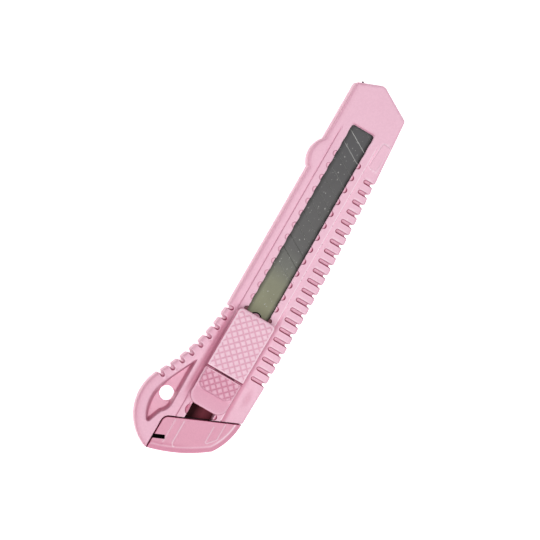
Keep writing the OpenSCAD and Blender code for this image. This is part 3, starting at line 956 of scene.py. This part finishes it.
def make_cap():
    """The end cap, with its marks, snapping slit, joint tongue painted dark as shadow and two arms."""
    split = split_path(SPLIT_GAP / 2)
    right, foot = split[0], split[-1]
    side_a = math.degrees(math.asin((right[1] - CAP_SIDE_C[1]) / CAP_SIDE_R))
    side = arc(CAP_SIDE_C, CAP_SIDE_R, (side_a, CAP_SIDE_A[1]), 30)
    foot_a = math.degrees(math.acos((foot[0] - CAP_BASE_C[0]) / CAP_BASE_R))
    base = arc(CAP_BASE_C, CAP_BASE_R, (CAP_BASE_A[0], -foot_a), 46)
    outer = without_doubles(np.concatenate([side, base]))
    joint = without_doubles(np.concatenate([[base[-1]], split[1:-1][::-1], [side[0]]]))
    loop = resample(np.concatenate([outer[:-1], joint[:-1]]), closed=True)[::-1]
    outer_fine, joint_fine = resample(outer), resample(joint)
    cap_z = cap_high[2]

    ridge = without_doubles(np.concatenate([
        [(-0.3, -63.5)], rounded((-0.3, -64), (-0.3, -73.0), (1.7, -73.3), 1.3)]))
    crook = without_doubles(np.concatenate([
        [(10.1, -59.8)], rounded((10.1, -60), (10.1, -67.2), (13.2, -63.6), 0.5),
        rounded((10.1, -67.2), (13.35, -63.4), (13.35, -57.6), 1.4), [(13.35, -57.2)]]))
    strip_x = -3.4

    def marks(p):
        """The ridge, the crook and the crease inside the rim, each 0 to 1, and the distance in."""
        x, y = p.T
        d = distance(p, outer_fine)
        line = bell(distance(p, ridge), 0, 0.26)
        hook = bell(distance(p, crook), 0, 0.24)
        crease = bell(d, RIM_W, 0.32) * (0.35 + 0.65 * rise(y, -70, -62)) * (x > -7)
        return line, hook, crease, d

    def front(p):
        line, hook, crease, d = marks(p)
        z = cap_z - 0.18 - 0.8 * rise(d, RIM_W, 0)
        z -= 0.12 * soft_step((strip_x - p[:, 0]) / 0.3 + 0.5) * rise(d, RIM_W, RIM_W + 0.5)
        z += 0.17 * np.maximum(np.maximum(line, hook), crease)
        return z - edge_drop(d, 0.7) - edge_drop(distance(p, joint_fine), 0.2)

    def back(p):
        return edge_drop(distance(p, outer_fine), 0.75) + edge_drop(distance(p, joint_fine), 0.25)

    def tint(p):
        """Painted highlights on the ridges, painted shade along the joint and where it crosses the
        arms.
        """
        x, y, z = p.T
        flat = p[:, :2]
        line, hook, crease, d = marks(flat)
        from_joint = distance(flat, joint_fine)
        # painted highlights on the ridge, crook, crease and strip
        t = -0.8 * np.maximum(line, hook) - 0.9 * crease
        t -= 0.6 * bell(x, strip_x, 0.2) * soft_step(y + 74.5) * soft_step(-63.5 - y)
        # painted shade on the lower rim, along the joint and at the outer edge
        t += 0.05 * soft_step((RIM_W - 0.3 - d) / 0.5) * rise(y, -66, -72)
        t += 1.9 * soft_step(1 - from_joint / 0.24) + 0.5 * soft_step(1 - d / 0.12)
        t += 0.3 * bell(d, RIM_W + 0.7, 0.4) * rise(y, -70, -73)
        # below the face: painted shade near the joint, on its wall and on the arms
        on_arm = 1.9 * soft_step(1.6 - from_joint / 0.6) * (z > TONGUE_Z[1] + 0.3)
        return np.where(z > cap_z - 2.2, t, 0.1 + on_arm)

    run = np.arange(-76, -57, 0.3)
    seeds = [
        offset_rings(outer[::-1], (0.06, 0.2, 0.4, 0.7, 1.2, 1.5, 1.8, 2.0, 2.2, 2.5, 2.9), 0.4),
        offset_rings(joint[::-1], (0.12, 0.3), 0.35),
        offset_rings(ridge, (-0.45, -0.22, 0, 0.22, 0.45), 0.35),
        offset_rings(crook, (-0.4, -0.2, 0, 0.2, 0.4), 0.3),
        *(line_along(strip_x + d, run) for d in (-0.3, -0.12, 0, 0.12, 0.3)),
        grid((-9, -79), (20, -53), 0.9),
    ]
    solid = relief_solid("end_cap_moulding", CAP_PINK, loop, [], seeds, front, back)

    t = math.radians(SPLIT_SLANT)
    way = np.array([math.cos(t), math.sin(t)])
    side = np.array([-way[1], way[0]])
    corners = [SLIT_C + way * a + side * b for a, b in rectangle(*SLIT_REACH, -SLIT_HALF, SLIT_HALF)]
    slit = rounded_loop(corners, [0.1, 0.3, 0.3, 0.1], 5)
    # the slit's walls are painted shadow
    combine(solid, prism("slit", SHADED_PINK, slit, SLIT_FLOOR_Z, TOP_Z + 2), "DIFFERENCE")
    # a dark tongue low in the joint, as painted shadow
    near, far = (split_path(inset) for inset in TONGUE_INSET)
    for path in (near, far):
        path[0] += unit(path[1] - path[0]) * TONGUE_END
        path[-1] += unit(path[-2] - path[-1]) * TONGUE_END
    tongue = np.concatenate([near, far[::-1]])
    combine(solid, prism("tongue", SHADED_PINK, tongue, *TONGUE_Z), "UNION")
    for sign in (-1, 1):
        x0, x1 = sorted(MID_X + sign * x for x in ARM_X)
        outline = rounded_loop(rectangle(x0, x1, ARM_REAR_Y, cap_high[1]), [0.05, 0.05, 0.6, 0.6], 5)
        combine(solid, prism("arm", CAP_PINK, resample(outline, closed=True), *ARM_Z), "UNION")
    paint(solid, tint)
    shade(solid)
    return solid


# ---------------------------------------------------------------- slider

def knurl(p, y_low, y_high):
    """0 on the raised diamonds, 1 in the grooves between them."""
    x, y = p[:, 0] - MID_X, p[:, 1] + KNURL_PHASE
    turns = np.stack([x + y, x - y]) / math.sqrt(2) / KNURL_PITCH
    off = np.abs(turns - np.round(turns)).min(0) * KNURL_PITCH
    sides = (SLIDER_HALF - KNURL_MARGIN - np.abs(x), p[:, 1] - y_low, y_high - p[:, 1])
    return (1 - soft_step(off / KNURL_HALF)) * soft_step(np.minimum.reduce(sides) / 0.5)


def knurl_seeds(y_low, y_high):
    """Points on both walls and the floor of every knurl groove."""
    steps = np.array([0, 0.14, 0.3, 0.46, 0.78, 1.28, 1.6, 1.76, 1.92]) / KNURL_PITCH
    n = int((y_high - y_low + 20) / KNURL_PITCH) + 12
    middle = (y_low + y_high) / 2 + KNURL_PHASE
    lines = (np.arange(-n, n)[:, None] + steps).ravel() * KNURL_PITCH
    shift = middle / math.sqrt(2)
    near = lines[(np.abs(lines - shift) < 22) | (np.abs(lines + shift) < 22)]
    a, b = np.meshgrid(near, near)
    x = (a + b).ravel() / math.sqrt(2)
    y = (a - b).ravel() / math.sqrt(2)
    y -= KNURL_PHASE
    keep = (np.abs(x) < SLIDER_HALF) & (y > y_low) & (y < y_high)
    return np.stack([x[keep] + MID_X, y[keep]], 1)


def slider_loop(y0, y1, r0, r1, half=SLIDER_HALF):
    """Outline of a slider part between two Y, with corner radii r0 in front and r1 behind."""
    return resample(rounded_loop(centred(half, y1, y0), [r1, r1, r0, r0], 9), closed=True)


def cad_copy(node, mat):
    """A new object with a welded copy of a CAD node's mesh."""
    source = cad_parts[node]
    mesh = source.data.copy()
    mesh.transform(source.matrix_world)
    work = bmesh.new()
    work.from_mesh(mesh)
    bmesh.ops.remove_doubles(work, verts=work.verts, dist=1e-6)
    work.to_mesh(mesh)
    work.free()
    obj = bpy.data.objects.new(node + "_copy", mesh)
    bpy.context.scene.collection.objects.link(obj)
    cover(obj, mat)
    return obj


def slider_tint(p, loop, knurl_y, low_z, depth, pale, rest, seam_y):
    """Painted shade in the knurl grooves and in a line at the very edge and the seam, painted
    highlights on the diamonds and a little in from the edge, plain below low_z.
    """
    x, y, z = p.T
    flat = p[:, :2]
    lost = knurl(flat, *knurl_y)
    inner = (y > knurl_y[0]) & (y < knurl_y[1]) & (np.abs(x - MID_X) < SLIDER_HALF - KNURL_MARGIN)
    t = np.where(inner, depth * lost - pale * (1 - lost), rest)
    d = distance(flat, loop, closed=True)
    t -= 0.45 * stripe(d, 0.35, 0.4)
    t += 1.3 * soft_step(1 - d / 0.14) + 0.75 * stripe(y, seam_y, 0.22, flat=0)
    return np.where(z > low_z, t, 0)


def flat_at(z):
    """A height function that is z everywhere."""
    return lambda p: np.full(len(p), z)


def make_pad():
    """The lock pad: a knurled shell round the CAD pad's inside parts."""
    y1, y0 = PAD_Y
    loop = slider_loop(y0, y1, 1.8, 0.3)
    knurl_y = (y1 + 0.35, y0 - 0.7)
    roof_z = FLANGE_Z + 0.9

    def top(p):
        x, y = p.T
        t = np.clip((y - y1) / (y0 - 2.5 - y1), 0, 1)
        z = PAD_REAR_Z + (pad_high[2] - PAD_REAR_Z) * t
        z -= 0.5 * rise(y, y0 - 2.6, y0)
        z -= 0.18 * ((x - MID_X) / SLIDER_HALF) ** 2
        z -= edge_drop(distance(p, loop, closed=True), 0.75)
        return z - 0.2 * knurl(p, *knurl_y)

    def tint(p):
        t = slider_tint(p, loop, knurl_y, FLANGE_Z + 0.2, 0.1, 0.55, 0, y1)
        # painted shade behind the pad's rear edge
        return t + 0.6 * (p[:, 1] < y1 - 0.05) * (p[:, 2] > FLANGE_Z)

    seeds = [offset_rings(loop, (0.06, 0.2, 0.42, 0.75), 0.4, closed=True),
             knurl_seeds(y1, y0), grid((MID_X - 8, y1), (MID_X + 8, y0), 1.5)]
    solid = relief_solid("lock_pad_moulding", SLIDER_PINK, loop, [], seeds, top, flat_at(FLANGE_Z))
    cavity = centred(SLIDER_HALF - 1, y1 + 1, y0 - 1)
    combine(solid, prism("cavity", SLIDER_PINK, cavity, FLANGE_Z - 1, roof_z), "DIFFERENCE")
    inside_parts = cad_copy("lock_pad", SLIDER_PINK)
    keep = centred(SLIDER_HALF - 0.8, y1 + 0.7, y0 - 0.8)
    combine(inside_parts, prism("keep", SLIDER_PINK, keep, 0, roof_z + 0.3), "INTERSECT")
    combine(solid, inside_parts, "UNION")
    for sign in (-1, 1):
        x0, x1 = sorted(MID_X + sign * x for x in (4.1, SLIDER_HALF - 0.1))
        ledge = rectangle(x0, x1, y1 - 0.4, y1 + 0.3)
        combine(solid, prism("ledge", SLIDER_PINK, ledge, FLANGE_Z, FLANGE_Z + 1.7), "UNION")
    paint(solid, tint)
    shade(solid)
    return solid


def make_carriage():
    """The carriage: rear pad and sloped tail, on the CAD carriage's lower parts."""
    y1, y0 = CARRIAGE_Y
    loop = slider_loop(y0, y1, 0.25, 3.8)
    pad_loop = slider_loop(y0 + 3, REAR_PAD_Y, 0.25, 3.4, SLIDER_HALF - 0.45)
    knurl_y = (REAR_PAD_Y + 0.3, y0 - 0.15)

    def top(p):
        x, y = p.T
        t = np.clip((REAR_PAD_Y - y) / (REAR_PAD_Y - y1), 0, 1)
        tail = FLANGE_Z - 0.2 + 0.8 * (1 - t) ** 2
        d = -signed(p, pad_loop)
        pad = carriage_high[2] - 0.12 * ((x - MID_X) / SLIDER_HALF) ** 2
        pad -= edge_drop(np.maximum(d, 0), 0.5)
        pad -= 0.3 * knurl(p, *knurl_y) * rise(d, 0.2, 0.5)
        z = tail + (pad - tail) * soft_step(d / 0.5)
        return z - edge_drop(distance(p, loop, closed=True), 0.6)

    seeds = [offset_rings(loop, (0.06, 0.2, 0.4, 0.65), 0.4, closed=True),
             offset_rings(pad_loop, (-0.05, 0.12, 0.25, 0.4, 0.55), 0.35, closed=True),
             knurl_seeds(REAR_PAD_Y, y0), grid((MID_X - 8, y1), (MID_X + 8, y0), 0.9)]
    solid = relief_solid("slider_moulding", SLIDER_PINK, loop, [], seeds, top, flat_at(TOP_Z + 0.15))
    keep = prism("keep_front", SLIDER_PINK, centred(9, y0 - 0.3, 0), 0, 30)
    keep_rear = prism("keep_rear", SLIDER_PINK, centred(9, y1 - 2, y0 - 0.2), 0, TOP_Z + 0.4)
    combine(keep, keep_rear, "UNION")
    lower = cad_copy("slider_carriage", SLIDER_PINK)
    combine(lower, keep, "INTERSECT")
    combine(solid, lower, "UNION")
    # a thin ring cut round the pin, its walls in painted shadow
    inner, outer = (arc(PIN_C, radius, (0, 352.5), 48) for radius in PIN_RING_R)
    core = prism("pin_core", SHADED_PINK, inner, PIN_RING_Z[0] - 1, PIN_RING_Z[1] + 1)
    ring = prism("pin_ring", SHADED_PINK, outer, *PIN_RING_Z)
    combine(solid, combine(ring, core, "DIFFERENCE"), "DIFFERENCE")
    paint(solid, lambda p: slider_tint(p, loop, knurl_y, TOP_Z + 0.3, 0.5, 0.05, 0.16, y0))
    shade(solid)
    return solid


handle = make_handle()
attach(handle, "handle")
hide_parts("handle_body")

cap = make_cap()
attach(cap, "cap")
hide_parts("end_cap")

pad = make_pad()
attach(pad, "pad")
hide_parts("lock_pad")

carriage = make_carriage()
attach(carriage, "slider")
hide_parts("slider_carriage")

STEEL, SPRING = blade_steel(), spring_steel()
for node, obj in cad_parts.items():
    if node.startswith("blade_"):
        cover(obj, STEEL)
    if node == "lock_spring":
        cover(obj, SPRING)


# ---------------------------------------------------------------- stage, light and camera

# metres, except the glow, the angles and the lens
FLOOR_HALF, FLOOR_Z, FLOOR_GLOW = 1.6, -0.0004, 0.8
CAMERA_ROLL, CAMERA_LEAN, CAMERA_FAR, CAMERA_LENS = 30.07, (7.0, 2.5), 1.5, 275.95
CAMERA_TARGET = (-0.00073, -0.00038, 0.0116)


def make_floor():
    """A plain pale light table, just under the knife."""
    s = FLOOR_HALF
    mat, tree, shader, where = plain_nodes("floor_paint")
    tone = ramp(tree, noise(tree, where, 3, 2), [(0.3, (0.9, 0.9, 0.9)), (0.7, (0.92, 0.92, 0.92))])
    tree.links.new(tone, shader.inputs["Base Color"])
    tree.links.new(tone, shader.inputs["Emission Color"])
    shader.inputs["Emission Strength"].default_value = FLOOR_GLOW
    shader.inputs["Roughness"].default_value = 0.9
    floor = new_object("floor", mat, [(-s, -s, 0), (s, -s, 0), (s, s, 0), (-s, s, 0)], [(0, 1, 2, 3)])
    floor.location.z = FLOOR_Z


def area_light(name, at, size, power, aim=(0, 0, 0)):
    light = bpy.data.lights.new(name, "AREA")
    light.shape = "RECTANGLE"
    light.size, light.size_y = size
    light.energy = power
    obj = bpy.data.objects.new(name, light)
    obj.location = at
    obj.rotation_euler = (Vector(aim) - Vector(at)).to_track_quat("-Z", "Y").to_euler()
    bpy.context.scene.collection.objects.link(obj)


def make_camera():
    """Looks down on the front face, a little from the left and from the tail."""
    roll = math.radians(CAMERA_ROLL)
    lean_x, lean_y = (math.tan(math.radians(angle)) for angle in CAMERA_LEAN)
    look = Vector((-lean_x, -lean_y, 1)).normalized()
    up = Vector((-math.sin(roll), math.cos(roll), 0))
    up = (up - look * up.dot(look)).normalized()
    turn = Matrix((up.cross(look), up, look)).transposed().to_quaternion()
    data = bpy.data.cameras.new("camera")
    data.sensor_width = 36
    data.lens = CAMERA_LENS
    camera = bpy.data.objects.new("camera", data)
    camera.matrix_world = Matrix.LocRotScale(Vector(CAMERA_TARGET) + look * CAMERA_FAR, turn, None)
    bpy.context.scene.collection.objects.link(camera)
    bpy.context.scene.camera = camera


make_floor()
area_light("soft_box", (0.2, 0.07, 1.7), (1.1, 1.1), 15.5)
area_light("key", (-0.12, -0.55, 1.0), (0.45, 0.45), 4.0)
world = bpy.data.worlds.new("world")
world.use_nodes = True
world.node_tree.nodes["Background"].inputs["Color"].default_value = (1, 1, 1, 1)
world.node_tree.nodes["Background"].inputs["Strength"].default_value = 0.25
bpy.context.scene.world = world
bpy.context.scene.view_settings.view_transform = "Standard"
make_camera()
